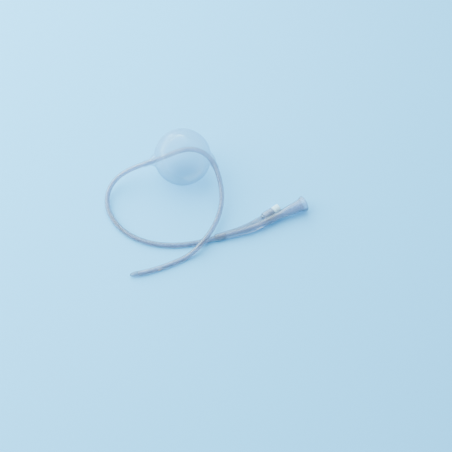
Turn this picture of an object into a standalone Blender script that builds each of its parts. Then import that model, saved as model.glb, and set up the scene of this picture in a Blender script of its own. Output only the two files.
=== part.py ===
"""Two-way balloon catheter, 12 French, lying in one loop on a table with its balloon filled.

Lengths are in metres. The row frame has +X roughly along the Y connector, +Z up and the table at z = 0.
"""

import math

import bmesh
import bpy
import numpy as np
from mathutils import Matrix, Vector

MM = 0.001

# Fits, and how far a cutter runs past the face that it opens
CLEARANCE = 0.3 * MM
OVERCUT = 1.0 * MM

# Shaft
SHAFT_RADIUS = 2.0 * MM
SHAFT_POINT_SPACING = 5.2 * MM
SHAFT_ROUTE_MM = [
    (5.65, -41.44, 3.23),
    (1.38, -40.97, 3.03),
    (-2.59, -40.54, 2.84),
    (-10.09, -39.69, 2.3),
    (-18.59, -38.29, 2.06),
    (-28.59, -35.74, 2.06),
    (-39.09, -31.54, 2.06),
    (-49.09, -25.54, 2.06),
    (-58.09, -17.04, 2.06),
    (-65.09, -6.04, 2.06),
    (-68.79, 6.96, 2.2),
    (-69.09, 17.96, 3.0),
    (-66.39, 27.06, 4.7),
    (-60.99, 34.06, 7.4),
    (-53.09, 37.86, 11.0),
    (-43.59, 38.16, 15.2),
    (-34.09, 36.06, 19.3),
    (-24.09, 34.06, 22.3),
    (-12.79, 33.36, 24.2),
    (-1.59, 33.06, 25.4),
    (8.21, 29.86, 26.0),
    (15.41, 22.86, 24.9),
    (18.81, 12.46, 22.0),
    (18.41, 1.26, 17.9),
    (16.21, -9.04, 13.4),
    (11.81, -18.44, 10.0),
    (4.91, -27.44, 7.8),
    (-3.49, -35.34, 6.9),
    (-13.49, -42.44, 6.4),
    (-18.99, -45.24, 5.2),
    (-23.99, -46.74, 3.6),
    (-28.49, -47.64, 2.5),
    (-32.39, -48.14, 2.06),
]

# Tip
TIP_LENGTH = 42.2 * MM
TIP_NOSE_LENGTH = 4.5 * MM
TIP_LUMEN_RADIUS = 1.1 * MM
TIP_LUMEN_END = 4.0 * MM
TIP_TURN = math.radians(19.0)
EYE_LENGTH = 4.2 * MM
EYE_WIDTH = 2.0 * MM
NEAR_EYE_FROM_TIP_END = 23.2 * MM
FAR_EYE_FROM_SHAFT = 6.0 * MM
EYE_TILT = math.radians(10.0)

# Balloon
BALLOON_RADIUS = 22.6 * MM
BALLOON_CENTRE = Vector((-1.39 * MM, 28.46 * MM, BALLOON_RADIUS))
BALLOON_WALL = 0.6 * MM
CUFF_WALL = 0.5 * MM
CUFF_LENGTH = 5.0 * MM
CUFF_STAND_OFF = 3.4 * MM
SHOULDER_RADIUS = 5.5 * MM
BALLOON_RINGS = 22
SHOULDER_RINGS = 3

# Y connector, measured along its own axis from the nose
Y_NOSE = Vector((-2.59, -40.54, 0.0)) * MM
Y_HEADING = math.radians(-6.2)
Y_LENGTH = 77.0 * MM
NOSE_RADIUS = 2.9 * MM
NOSE_EDGE = 0.4 * MM
NOSE_LAND = 1.2 * MM
SOCKET_DEPTH = 8.6 * MM
STEM_RADIUS = 3.3 * MM
STEM_MIDDLE = 20.0 * MM
STEM_RUN_OUT = 8.0 * MM
FORK_ROOT = 10.0 * MM
FORK = 38.0 * MM
FORK_SECTIONS = 6
FORK_WEB_SHARE = 0.93
CROTCH_LENGTH = 2.1 * MM
BEND_ANGLE = math.radians(12.0)
BEND_LENGTH = 17.0 * MM
BEND_PAST_FORK = 3.0 * MM
OUTLET_RADIUS = 2.9 * MM
FUNNEL_LENGTH = 19.0 * MM
FLARE_START = Y_LENGTH - FUNNEL_LENGTH
FLARE_LEAD = 3.0 * MM
FLARE_RADIUS = 3.6 * MM
BELL_LENGTH = 5.0 * MM
BELL_START = Y_LENGTH - BELL_LENGTH
BELL_RADIUS = 4.7 * MM
MOUTH_RADIUS = 6.0 * MM
BEAD_RADIUS = 6.4 * MM
BEAD_WIDTH = 1.6 * MM
DRAIN_ENTRY_RADIUS = 0.8 * MM
DRAIN_ENTRY_LENGTH = 4.0 * MM
DRAIN_RADIUS = 1.6 * MM
FUNNEL_BORE_RADIUS = 3.6 * MM
MOUTH_BORE_RADIUS = 4.9 * MM
RING_SPACING = 4.0 * MM

# Inflation arm
ARM_ANGLE = math.radians(7.5)
ARM_OFFSET_AT_FORK = 5.2 * MM
ARM_LENGTH = 14.0 * MM
ARM_END = FORK + ARM_LENGTH
ARM_RADIUS = 2.1 * MM
ARM_ROOT_RADIUS = 1.3 * MM
CUP_WALL = 0.7 * MM
CUP_RUN_OUT = 1.2 * MM
CUP_EDGE = 0.4 * MM
INFLATION_LUMEN_RADIUS = 0.35 * MM

# Inflation valve, measured inwards from its mouth
VALVE_RADIUS = 3.3 * MM
VALVE_PROUD = 5.5 * MM
VALVE_INSERT_RADIUS = 2.4 * MM
VALVE_LENGTH = 14.0 * MM
VALVE_EDGE = 0.3 * MM
NECK_LENGTH = 1.4 * MM
NECK_STEP = 0.2 * MM
BARB_PLACES = (2.0 * MM, 5.0 * MM)
BARB_LENGTH = 1.0 * MM
BARB_HEIGHT = 0.15 * MM
LUER_MOUTH_RADIUS = 2.14 * MM
LUER_TAPER = 0.06 / 2
LUER_DEPTH = 7.5 * MM
SEAT_THICKNESS = 0.8 * MM
SEAT_HOLE_RADIUS = 1.25 * MM
CHAMBER_RADIUS = 2.0 * MM
SEAL_THICKNESS = 0.6 * MM
FLANGE_THICKNESS = 0.5 * MM
FLANGE_STEP = 0.05 * MM
PLUNGER_REACH = 4.3 * MM
PLUNGER_CORE_RADIUS = 0.4 * MM
PLUNGER_POINT = 0.4 * MM
POINT_SHARE = 0.6
VANE_WIDTH = 1.9 * MM
VANE_THICKNESS = 0.6 * MM
PLUNGER_TRAVEL = 1.2 * MM
PIN_RADIUS = 0.5 * MM
PIN_EDGE = 0.15 * MM
RETAINER_THICKNESS = 0.7 * MM
RETAINER_EDGE = 0.1 * MM
RETAINER_HOLE_RADIUS = 0.5 * MM
SPRING_WIRE_RADIUS = 0.15 * MM
SPRING_RADIUS = 1.15 * MM
SPRING_TURNS = 3
SPRING_POINTS_PER_TURN = 16

ROUND_SEGMENTS = 32
FINE_SEGMENTS = 24


def clear_scene():
    """Removes every object that the scene starts with."""
    for item in list(bpy.data.objects):
        bpy.data.objects.remove(item, do_unlink=True)


def material(name, colour, roughness, metallic=0.0):
    """A Principled material with one colour, roughness and metallic value."""
    made = bpy.data.materials.new(name)
    made.use_nodes = True
    shader = made.node_tree.nodes["Principled BSDF"]
    shader.inputs["Base Color"].default_value = (*colour, 1.0)
    shader.inputs["Roughness"].default_value = roughness
    shader.inputs["Metallic"].default_value = metallic
    return made


def empty(name, location, rotation, parent=None):
    """A guide that others are parented to. It isn't a piece of the object."""
    guide = bpy.data.objects.new(name, None)
    guide.location = location
    guide.rotation_euler = rotation
    guide.parent = parent
    bpy.context.collection.objects.link(guide)
    return guide


def mesh_object(name, bm, finish=None, parent=None):
    """Makes an object of a bmesh, smooth where its faces meet gently."""
    bmesh.ops.remove_doubles(bm, verts=bm.verts, dist=1e-7)
    bmesh.ops.recalc_face_normals(bm, faces=bm.faces)
    mesh = bpy.data.meshes.new(name)
    bm.to_mesh(mesh)
    bm.free()
    mesh.shade_smooth()
    mesh.set_sharp_from_angle(angle=math.radians(35.0))
    made = bpy.data.objects.new(name, mesh)
    made.parent = parent
    bpy.context.collection.objects.link(made)
    if finish:
        mesh.materials.append(finish)
    return made


def turned(profile, closed, segments=ROUND_SEGMENTS):
    """Spins (along, radius) points about X. An open profile starts and ends on the axis."""
    bm = bmesh.new()
    points = [bm.verts.new((along, 0.0, radius)) for along, radius in profile]
    for first, second in zip(points, points[1:]):
        bm.edges.new((first, second))
    if closed:
        bm.edges.new((points[-1], points[0]))
    bmesh.ops.spin(
        bm,
        geom=bm.verts[:] + bm.edges[:],
        cent=(0, 0, 0),
        axis=(1, 0, 0),
        angle=math.tau,
        steps=segments,
        use_merge=True,
    )
    return bm


def lofted(rings, closed):
    """Skins rings of equal count. A closed loft joins its last ring to its first, an open one has end faces."""
    bm = bmesh.new()
    made = [[bm.verts.new(point) for point in ring] for ring in rings]
    count = len(made[0])
    pairs = list(zip(made, made[1:]))
    if closed:
        pairs.append((made[-1], made[0]))
    for ring, following in pairs:
        for i in range(count):
            j = (i + 1) % count
            bm.faces.new((ring[i], ring[j], following[j], following[i]))
    if not closed:
        bm.faces.new(made[0])
        bm.faces.new(reversed(made[-1]))
    return bm


def combine(target, other, operation, solver="EXACT"):
    """Adds a Boolean with another object, which is left out of the model."""
    other.hide_render = True
    other.display_type = "WIRE"
    step = target.modifiers.new(other.name, "BOOLEAN")
    step.operation = operation
    step.solver = solver
    step.object = other


class Centreline:
    """A natural cubic curve through a route's points, read by its arc length."""

    def __init__(self, route):
        points = np.array(route, float)
        steps = np.linalg.norm(np.diff(points, axis=0), axis=1)
        knots = np.concatenate([[0.0], np.cumsum(steps)])
        bends = self.second_derivatives(points, steps)
        self.points = self.samples(points, bends, knots)
        spans = np.linalg.norm(np.diff(self.points, axis=0), axis=1)
        self.lengths = np.concatenate([[0.0], np.cumsum(spans)])
        self.length = self.lengths[-1]

    @staticmethod
    def second_derivatives(points, steps):
        count = len(points)
        system = np.eye(count)
        sides = np.zeros((count, 3))
        for i in range(1, count - 1):
            system[i, i - 1 : i + 2] = steps[i - 1], 2 * (steps[i - 1] + steps[i]), steps[i]
            ahead = (points[i + 1] - points[i]) / steps[i]
            behind = (points[i] - points[i - 1]) / steps[i - 1]
            sides[i] = 6 * (ahead - behind)
        return np.linalg.solve(system, sides)

    @staticmethod
    def samples(points, bends, knots, count=3000):
        places = np.linspace(0.0, knots[-1], count)
        spans = np.clip(np.searchsorted(knots, places) - 1, 0, len(knots) - 2)
        width = (knots[spans + 1] - knots[spans])[:, None]
        far = ((places - knots[spans])[:, None]) / width
        near = 1.0 - far
        straight = near * points[spans] + far * points[spans + 1]
        curved = (near**3 - near) * bends[spans] + (far**3 - far) * bends[spans + 1]
        return straight + curved * width**2 / 6

    def at(self, along):
        return Vector([np.interp(along, self.lengths, self.points[:, axis]) for axis in range(3)])

    def direction(self, along):
        step = 0.5 * MM
        return (self.at(along + step) - self.at(along - step)).normalized()

    def crossings(self, centre, radius):
        """The first and last arc lengths at which the curve is inside a sphere."""
        inside = np.linalg.norm(self.points - np.array(centre), axis=1) < radius
        return self.lengths[inside][0], self.lengths[inside][-1]


def make_shaft(route, finish):
    """The extruded shaft, from the socket in the Y connector to the tip."""
    curve = bpy.data.curves.new("shaft", "CURVE")
    curve.dimensions = "3D"
    curve.bevel_depth = SHAFT_RADIUS
    curve.bevel_resolution = 2
    curve.use_fill_caps = True
    count = math.ceil(route.length / SHAFT_POINT_SPACING) + 1
    line = curve.splines.new("POLY")
    line.points.add(count - 1)
    for point, along in zip(line.points, np.linspace(0.0, route.length, count)):
        point.co = (*route.at(along), 1.0)
    curve.materials.append(finish)
    shaft = bpy.data.objects.new("shaft", curve)
    bpy.context.collection.objects.link(shaft)
    return shaft


def make_tip(route, finish):
    """The moulded closed tip, bent a little, with two drainage eyes on opposite sides."""
    end = route.at(route.length)
    heading = route.direction(route.length - 1.0 * MM)
    turn = math.atan2(heading.y, heading.x)
    flat_heading = Vector((math.cos(turn), math.sin(turn), 0.0))
    place = end + flat_heading * CLEARANCE
    place.z = SHAFT_RADIUS
    barrel_end = TIP_LENGTH - TIP_NOSE_LENGTH
    rings = 9
    barrel = [(barrel_end * i / rings, SHAFT_RADIUS) for i in range(rings + 1)]
    nose = []
    for i in range(1, 7):
        angle = math.pi / 2 * i / 6
        nose.append((barrel_end + TIP_NOSE_LENGTH * math.sin(angle), SHAFT_RADIUS * math.cos(angle)))
    profile = [(0.0, 0.0)] + barrel + nose
    tip = mesh_object("tip", turned(profile, closed=False, segments=FINE_SEGMENTS), finish)
    lumen_length = TIP_LENGTH - TIP_LUMEN_END - TIP_NOSE_LENGTH / 2
    lumen_profile = [
        (-OVERCUT, 0.0),
        (-OVERCUT, TIP_LUMEN_RADIUS),
        (lumen_length / 2, TIP_LUMEN_RADIUS),
        (lumen_length - TIP_LUMEN_RADIUS, TIP_LUMEN_RADIUS),
        (lumen_length, TIP_LUMEN_RADIUS / 3),
        (lumen_length, 0.0),
    ]
    lumen = mesh_object("tip_lumen", turned(lumen_profile, closed=False, segments=16), parent=tip)
    combine(tip, lumen, "DIFFERENCE")
    for number in range(2):
        side = 1.0 if number == 0 else -1.0
        along = TIP_LENGTH - NEAR_EYE_FROM_TIP_END if number == 0 else FAR_EYE_FROM_SHAFT
        eye = eye_cutter(f"eye_{number}", side)
        eye.location = (along, 0.0, 0.0)
        eye.parent = tip
        combine(tip, eye, "DIFFERENCE")
    bend = tip.modifiers.new("lie", "SIMPLE_DEFORM")
    bend.deform_method = "BEND"
    bend.deform_axis = "Z"
    bend.angle = -TIP_TURN
    tip.location = place
    tip.rotation_euler = (0.0, 0.0, turn)
    return tip


def eye_cutter(name, side):
    """An upright prism with a rounded outline that cuts one drainage eye through one wall."""
    outline = []
    straight = (EYE_LENGTH - EYE_WIDTH) / 2
    for i in range(16):
        angle = math.tau * (i + 0.5) / 16
        shift = straight if math.cos(angle) > 0 else -straight
        outline.append((shift + EYE_WIDTH / 2 * math.cos(angle), EYE_WIDTH / 2 * math.sin(angle)))
    rings = []
    for height in (0.0, SHAFT_RADIUS + OVERCUT):
        rings.append([Vector((x, -side * height, z)) for x, z in outline])
    bm = lofted(rings, closed=False)
    bmesh.ops.rotate(bm, verts=bm.verts, matrix=Matrix.Rotation(-EYE_TILT, 3, "X"))
    return mesh_object(name, bm)


def ring_points(centre, normal, radius, segments=ROUND_SEGMENTS):
    """A circle of points about a centre, started at the side that looks up."""
    normal = normal.normalized()
    upright = (Vector((0, 0, 1)) - normal * normal.z).normalized()
    sideways = normal.cross(upright)
    points = []
    for i in range(segments):
        angle = math.tau * i / segments
        points.append(centre + radius * (math.cos(angle) * upright + math.sin(angle) * sideways))
    return points


def balloon_rings(route, wall, cuff_radius):
    """Rings of one skin of the balloon, from the outer end of one cuff to that of the other."""
    radius = BALLOON_RADIUS - wall
    first, last = route.crossings(BALLOON_CENTRE, BALLOON_RADIUS)
    poles = [route.at(first) - BALLOON_CENTRE, route.at(last) - BALLOON_CENTRE]
    start = -poles[0].normalized()
    finish = poles[1].normalized()

    def sphere_ring(share):
        normal = start.slerp(finish, share)
        angle = math.pi * share
        return BALLOON_CENTRE - normal * radius * math.cos(angle), normal, radius * math.sin(angle)

    def cuff_ring(along):
        return route.at(along), route.direction(along), cuff_radius

    def between(one, two, share):
        share = share * share * (3 - 2 * share)
        middle = [one[i].lerp(two[i], share) for i in range(2)]
        return middle[0], middle[1].normalized(), one[2] + (two[2] - one[2]) * share

    edge = math.asin((SHOULDER_RADIUS - wall) / radius) / math.pi
    shares = np.linspace(edge, 1.0 - edge, BALLOON_RINGS)
    ball = [sphere_ring(share) for share in shares]
    entry = cuff_ring(first - CUFF_STAND_OFF)
    leave = cuff_ring(last + CUFF_STAND_OFF)
    steps = [(i + 1) / (SHOULDER_RINGS + 1) for i in range(SHOULDER_RINGS)]
    rings = [cuff_ring(first - CUFF_STAND_OFF - CUFF_LENGTH), cuff_ring(first - CUFF_STAND_OFF - CUFF_LENGTH / 2)]
    rings.append(entry)
    rings += [between(entry, ball[0], step) for step in steps]
    rings += ball
    rings += [between(ball[-1], leave, step) for step in steps]
    rings.append(leave)
    rings.append(cuff_ring(last + CUFF_STAND_OFF + CUFF_LENGTH / 2))
    rings.append(cuff_ring(last + CUFF_STAND_OFF + CUFF_LENGTH))
    return rings


def make_balloon(route, finish):
    """The filled balloon: a thin shell with a cuff round the shaft at either end."""
    bore = SHAFT_RADIUS + CLEARANCE
    outer = balloon_rings(route, 0.0, bore + CUFF_WALL)
    inner = balloon_rings(route, BALLOON_WALL, bore)
    rings = [ring_points(*ring) for ring in outer + inner[::-1]]
    return mesh_object("balloon", lofted(rings, closed=True), finish)


def arm_offset(along):
    """How far the inflation arm's axis lies beside the drainage axis."""
    return ARM_OFFSET_AT_FORK + (along - FORK) * math.tan(ARM_ANGLE)


def cup_radius():
    """Outer radius of the cup that holds the valve."""
    return VALVE_INSERT_RADIUS + CLEARANCE + CUP_WALL


def bent_place(along, aside):
    """Where the bend takes a point of the straight connector, and how far it turns there."""
    bend_start = FORK + BEND_PAST_FORK - BEND_LENGTH
    radius = BEND_LENGTH / BEND_ANGLE
    inside = min(max(along - bend_start, 0.0), BEND_LENGTH)
    turn = inside / radius
    rest = along - bend_start - inside
    ahead = bend_start + (radius - aside) * math.sin(turn) + rest * math.cos(turn)
    return ahead, radius - (radius - aside) * math.cos(turn) + rest * math.sin(turn), turn


def y_lie():
    """How the connector lies: the height of its nose, its pitch and its roll.

    Its nose and its mouth bead touch the table, and it rolls until its inflation arm does.
    """
    bead = bent_place(Y_LENGTH - BEAD_WIDTH / 2, 0.0)[0]
    pitch = math.atan((BEAD_RADIUS - NOSE_RADIUS) / (bead - NOSE_LAND))
    nose_height = NOSE_RADIUS * math.cos(pitch) - NOSE_LAND * math.sin(pitch)
    cup_start = ARM_END - (VALVE_LENGTH - VALVE_PROUD)
    valve_mouth = ARM_END + CLEARANCE + VALVE_PROUD
    rolls = []
    for along, radius in ((cup_start, cup_radius()), (ARM_END, cup_radius()), (valve_mouth, VALVE_RADIUS)):
        height = nose_height + bent_place(along, arm_offset(along) + radius)[0] * math.sin(pitch)
        rolls.append(math.asin((height - radius) / arm_offset(along)))
    return nose_height, pitch, min(rolls)


def spaced(profile):
    """The same outline with points added where its lengthwise runs are long, so that it can bend."""
    points = [profile[0]]
    for (along, radius), (far_along, far_radius) in zip(profile, profile[1:]):
        steps = math.ceil(abs(far_along - along) / RING_SPACING)
        for i in range(1, steps):
            share = i / steps
            points.append((along + (far_along - along) * share, radius + (far_radius - radius) * share))
        points.append((far_along, far_radius))
    return points


def stem_profile():
    """Outer outline of the drainage line, from nose to mouth."""
    bead_start = Y_LENGTH - BEAD_WIDTH
    bead_shoulder = BEAD_RADIUS - (BEAD_RADIUS - MOUTH_RADIUS) / 4
    return [
        (0.0, 0.0),
        (0.0, NOSE_RADIUS - NOSE_EDGE),
        (NOSE_EDGE, NOSE_RADIUS - NOSE_EDGE / 4),
        (NOSE_LAND, NOSE_RADIUS),
        (STEM_MIDDLE / 2, (NOSE_RADIUS + STEM_RADIUS) / 2),
        (STEM_MIDDLE, STEM_RADIUS),
        (FORK - STEM_RUN_OUT, STEM_RADIUS),
        (FORK, OUTLET_RADIUS),
        (FLARE_START - FLARE_LEAD, OUTLET_RADIUS),
        (FLARE_START - FLARE_LEAD / 3, (3 * OUTLET_RADIUS + FLARE_RADIUS) / 4),
        (FLARE_START, FLARE_RADIUS),
        ((FLARE_START + BELL_START) / 2, (FLARE_RADIUS + BELL_RADIUS) / 2),
        (BELL_START, BELL_RADIUS),
        ((BELL_START + bead_start) / 2, (3 * BELL_RADIUS + 2 * MOUTH_RADIUS) / 5),
        (bead_start, MOUTH_RADIUS),
        (bead_start + BEAD_WIDTH / 4, bead_shoulder),
        (bead_start + BEAD_WIDTH / 2, BEAD_RADIUS),
        (Y_LENGTH - BEAD_WIDTH / 4, bead_shoulder),
        (Y_LENGTH, MOUTH_RADIUS),
        (Y_LENGTH, 0.0),
    ]


def drain_profile():
    """Socket for the shaft, drainage lumen and funnel bore, cut as one turned tool."""
    socket = SHAFT_RADIUS + CLEARANCE
    funnel_lead = (DRAIN_RADIUS + 2 * FUNNEL_BORE_RADIUS) / 3
    return [
        (-OVERCUT, 0.0),
        (-OVERCUT, socket),
        (SOCKET_DEPTH, socket),
        (SOCKET_DEPTH, DRAIN_ENTRY_RADIUS),
        (SOCKET_DEPTH + DRAIN_ENTRY_LENGTH, DRAIN_ENTRY_RADIUS),
        (FORK, DRAIN_RADIUS),
        (FLARE_START - FLARE_LEAD, DRAIN_RADIUS),
        ((FLARE_START + BELL_START) / 2, funnel_lead),
        (BELL_START, FUNNEL_BORE_RADIUS),
        (Y_LENGTH, MOUTH_BORE_RADIUS),
        (Y_LENGTH + OVERCUT, MOUTH_BORE_RADIUS),
        (Y_LENGTH + OVERCUT, 0.0),
    ]


def stem_radius(along):
    """The drainage line's outer radius at a place along it."""
    places, radii = zip(*stem_profile()[1:-1])
    return np.interp(along, places, radii)


def fork_ring(along, fullness):
    """One section of the fork: a round side on each line's axis, with flat faces between them."""
    share = min(1.0, (along - FORK_ROOT) / (FORK - FORK_ROOT))
    arm_radius = (ARM_ROOT_RADIUS + (ARM_RADIUS - ARM_ROOT_RADIUS) * share) * fullness
    drain_radius = FORK_WEB_SHARE * stem_radius(along) * fullness
    points = []
    for i in range(ROUND_SEGMENTS):
        angle = math.tau * (i + 0.5) / ROUND_SEGMENTS
        on_arm = math.cos(angle) > 0
        radius = arm_radius if on_arm else drain_radius
        centre = arm_offset(along) if on_arm else 0.0
        points.append(Vector((along, centre + radius * math.cos(angle), radius * math.sin(angle))))
    return points


def fork_loft():
    """The web that carries the inflation arm off the stem and rounds off between the two arms."""
    run = FORK - FORK_ROOT
    sections = [(FORK_ROOT + run * i / FORK_SECTIONS, 1.0) for i in range(FORK_SECTIONS + 1)]
    for angle in (math.radians(30.0), math.radians(60.0)):
        sections.append((FORK + CROTCH_LENGTH * math.sin(angle), math.cos(angle)))
    return lofted([fork_ring(along, fullness) for along, fullness in sections], closed=False)


def arm_profile():
    """Outer outline of the inflation arm, measured back from its end, with the cup for the valve."""
    cup = cup_radius()
    cup_start = -(VALVE_LENGTH - VALVE_PROUD + CLEARANCE)
    root = -(ARM_END - FORK_ROOT)
    return [
        (root, 0.0),
        (root, ARM_ROOT_RADIUS - CUP_EDGE),
        (-(ARM_END - FORK), ARM_RADIUS - CUP_EDGE / 2),
        (cup_start - CUP_RUN_OUT, ARM_RADIUS),
        (cup_start - CUP_RUN_OUT / 2, (ARM_RADIUS + cup) / 2),
        (cup_start, cup - CUP_EDGE / 4),
        (cup_start + CUP_RUN_OUT, cup),
        (-CUP_EDGE, cup),
        (0.0, cup - CUP_EDGE),
        (0.0, 0.0),
    ]


def make_y_connector(axis, roll, finish):
    """The moulded Y: stem, drainage funnel and inflation arm in one piece, with their lumens."""
    rolled = empty("y_roll", (0.0, 0.0, 0.0), (roll, 0.0, 0.0), axis)
    arm_axis = empty("arm_axis", (ARM_END, arm_offset(ARM_END), 0.0), (0.0, 0.0, ARM_ANGLE), rolled)
    y_piece = mesh_object("y_funnel", turned(spaced(stem_profile()), closed=False), finish, axis)
    fork = mesh_object("fork_web", fork_loft(), parent=rolled)
    arm = mesh_object("arm_barrel", turned(spaced(arm_profile()), closed=False, segments=28), parent=arm_axis)
    combine(y_piece, fork, "UNION")
    combine(y_piece, arm, "UNION")
    drain = mesh_object("drain_core", turned(spaced(drain_profile()), closed=False, segments=28), parent=axis)
    combine(y_piece, drain, "DIFFERENCE")
    pocket_radius = VALVE_INSERT_RADIUS + CLEARANCE
    pocket_end = -(VALVE_LENGTH - VALVE_PROUD)
    lumen_end = -(ARM_END - SOCKET_DEPTH + OVERCUT) / math.cos(ARM_ANGLE)
    pocket_profile = [
        (lumen_end, 0.0),
        (lumen_end, INFLATION_LUMEN_RADIUS),
        (pocket_end, INFLATION_LUMEN_RADIUS),
        (pocket_end, pocket_radius),
        (OVERCUT, pocket_radius),
        (OVERCUT, 0.0),
    ]
    pocket = mesh_object("pocket_core", turned(spaced(pocket_profile), closed=False, segments=24), parent=arm_axis)
    combine(y_piece, pocket, "DIFFERENCE", solver="MANIFOLD")
    bend_end = FORK + BEND_PAST_FORK
    bend = y_piece.modifiers.new("lie", "SIMPLE_DEFORM")
    bend.deform_method = "BEND"
    bend.deform_axis = "Z"
    bend.angle = BEND_ANGLE
    bend.limits = ((bend_end - BEND_LENGTH) / Y_LENGTH, bend_end / Y_LENGTH)
    bend.origin = empty("bend_origin", (bend_end - BEND_LENGTH, 0.0, 0.0), (0.0, 0.0, 0.0), axis)
    return y_piece


def make_valve_axis(axis, roll):
    """The valve's own axis, at its mouth, carried round by the connector's bend."""
    bend_end = FORK + BEND_PAST_FORK
    ahead, aside, turn = bent_place(bend_end, 0.0)
    past_bend = empty("past_bend", (ahead, aside, 0.0), (0.0, 0.0, turn), axis)
    rolled = empty("past_bend_roll", (0.0, 0.0, 0.0), (roll, 0.0, 0.0), past_bend)
    arm_end = (ARM_END - bend_end, arm_offset(ARM_END), 0.0)
    cup_axis = empty("cup_axis", arm_end, (0.0, 0.0, ARM_ANGLE), rolled)
    return empty("valve_axis", (CLEARANCE + VALVE_PROUD, 0.0, 0.0), (0.0, 0.0, 0.0), cup_axis)


def seat_face():
    """Where the valve's seat ends and its chamber begins."""
    return -(LUER_DEPTH + SEAT_THICKNESS)


def make_valve_housing(valve_axis, finish):
    """The valve's body: tapered socket outside, seat, and a chamber that the arm's cup holds."""
    barb = VALVE_INSERT_RADIUS + BARB_HEIGHT
    insert = [(-VALVE_PROUD, VALVE_INSERT_RADIUS)]
    for place in BARB_PLACES:
        insert.append((-VALVE_PROUD - place, VALVE_INSERT_RADIUS))
        insert.append((-VALVE_PROUD - place, barb))
        insert.append((-VALVE_PROUD - place - BARB_LENGTH, VALVE_INSERT_RADIUS))
    profile = [
        (0.0, LUER_MOUTH_RADIUS),
        (0.0, VALVE_RADIUS - VALVE_EDGE),
        (-VALVE_EDGE, VALVE_RADIUS),
        (-VALVE_PROUD + NECK_LENGTH + NECK_STEP, VALVE_RADIUS),
        (-VALVE_PROUD + NECK_LENGTH, VALVE_RADIUS - NECK_STEP),
        (-VALVE_PROUD, VALVE_RADIUS - NECK_STEP),
        *insert,
        (-VALVE_LENGTH, VALVE_INSERT_RADIUS),
        (-VALVE_LENGTH, CHAMBER_RADIUS),
        (seat_face(), CHAMBER_RADIUS),
        (seat_face(), SEAT_HOLE_RADIUS),
        (-LUER_DEPTH, SEAT_HOLE_RADIUS),
        (-LUER_DEPTH, LUER_MOUTH_RADIUS - LUER_TAPER * LUER_DEPTH),
    ]
    return mesh_object("valve_housing", turned(profile, closed=True), finish, valve_axis)


def seal_back():
    """The seal's face that the plunger's flange bears on."""
    return seat_face() - CLEARANCE - SEAL_THICKNESS


def make_valve_seal(valve_axis, finish):
    """The rubber washer that the plunger pulls against the seat."""
    front = seat_face() - CLEARANCE
    inner = VANE_WIDTH / 2 + CLEARANCE
    outer = CHAMBER_RADIUS - CLEARANCE
    edge = SEAL_THICKNESS / 4
    profile = [
        (front, inner),
        (front, outer - edge),
        (front - edge, outer),
        (seal_back() + edge, outer),
        (seal_back(), outer - edge),
        (seal_back(), inner),
    ]
    return mesh_object("valve_seal", turned(profile, closed=True, segments=FINE_SEGMENTS), finish, valve_axis)


def make_valve_plunger(valve_axis, finish):
    """The plunger: a cross-shaped rod in the socket, a flange behind the seal and a pin that stops its travel."""
    flange_front = seal_back() - CLEARANCE
    flange_back = flange_front - FLANGE_THICKNESS
    flange_radius = CHAMBER_RADIUS - CLEARANCE - FLANGE_STEP
    core_front = -PLUNGER_REACH - PLUNGER_POINT
    pin_end = retainer_face() + CLEARANCE + PLUNGER_TRAVEL
    profile = [
        (core_front, 0.0),
        (core_front, PLUNGER_CORE_RADIUS),
        (flange_front, PLUNGER_CORE_RADIUS),
        (flange_front, flange_radius),
        (flange_back, flange_radius),
        (flange_back, PIN_RADIUS),
        (pin_end + PIN_EDGE, PIN_RADIUS),
        (pin_end, PIN_RADIUS - PIN_EDGE),
        (pin_end, 0.0),
    ]
    plunger = mesh_object(
        "valve_plunger", turned(profile, closed=False, segments=FINE_SEGMENTS), finish, valve_axis
    )
    for number, turn in enumerate((0.0, math.pi / 2)):
        vane = vane_blade(f"vane_{number}", flange_front - FLANGE_THICKNESS / 2)
        vane.parent = valve_axis
        vane.rotation_euler = (turn, 0.0, 0.0)
        combine(plunger, vane, "UNION")
    return plunger


def vane_blade(name, back):
    """One blade of the plunger's cross, with a pointed top that a syringe tip meets."""
    half = VANE_WIDTH / 2
    thick = VANE_THICKNESS / 2
    outline = [
        (-PLUNGER_REACH, -half * POINT_SHARE),
        (-PLUNGER_REACH - PLUNGER_POINT, -half),
        (back, -half),
        (back, half),
        (-PLUNGER_REACH - PLUNGER_POINT, half),
        (-PLUNGER_REACH, half * POINT_SHARE),
    ]
    rings = [[Vector((x, y, z)) for x, y in outline] for z in (-thick, thick)]
    return mesh_object(name, lofted(rings, closed=False))


def retainer_face():
    """The retainer's face that the spring stands on."""
    return -(VALVE_LENGTH - RETAINER_THICKNESS)


def make_valve_retainer(valve_axis, finish):
    """The perforated disc that closes the chamber and carries the spring."""
    outer = CHAMBER_RADIUS - CLEARANCE
    profile = [
        (retainer_face(), RETAINER_HOLE_RADIUS),
        (retainer_face(), outer - RETAINER_EDGE),
        (retainer_face() - RETAINER_EDGE, outer),
        (-VALVE_LENGTH, outer),
        (-VALVE_LENGTH, RETAINER_HOLE_RADIUS),
    ]
    return mesh_object("valve_retainer", turned(profile, closed=True, segments=FINE_SEGMENTS), finish, valve_axis)


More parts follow.
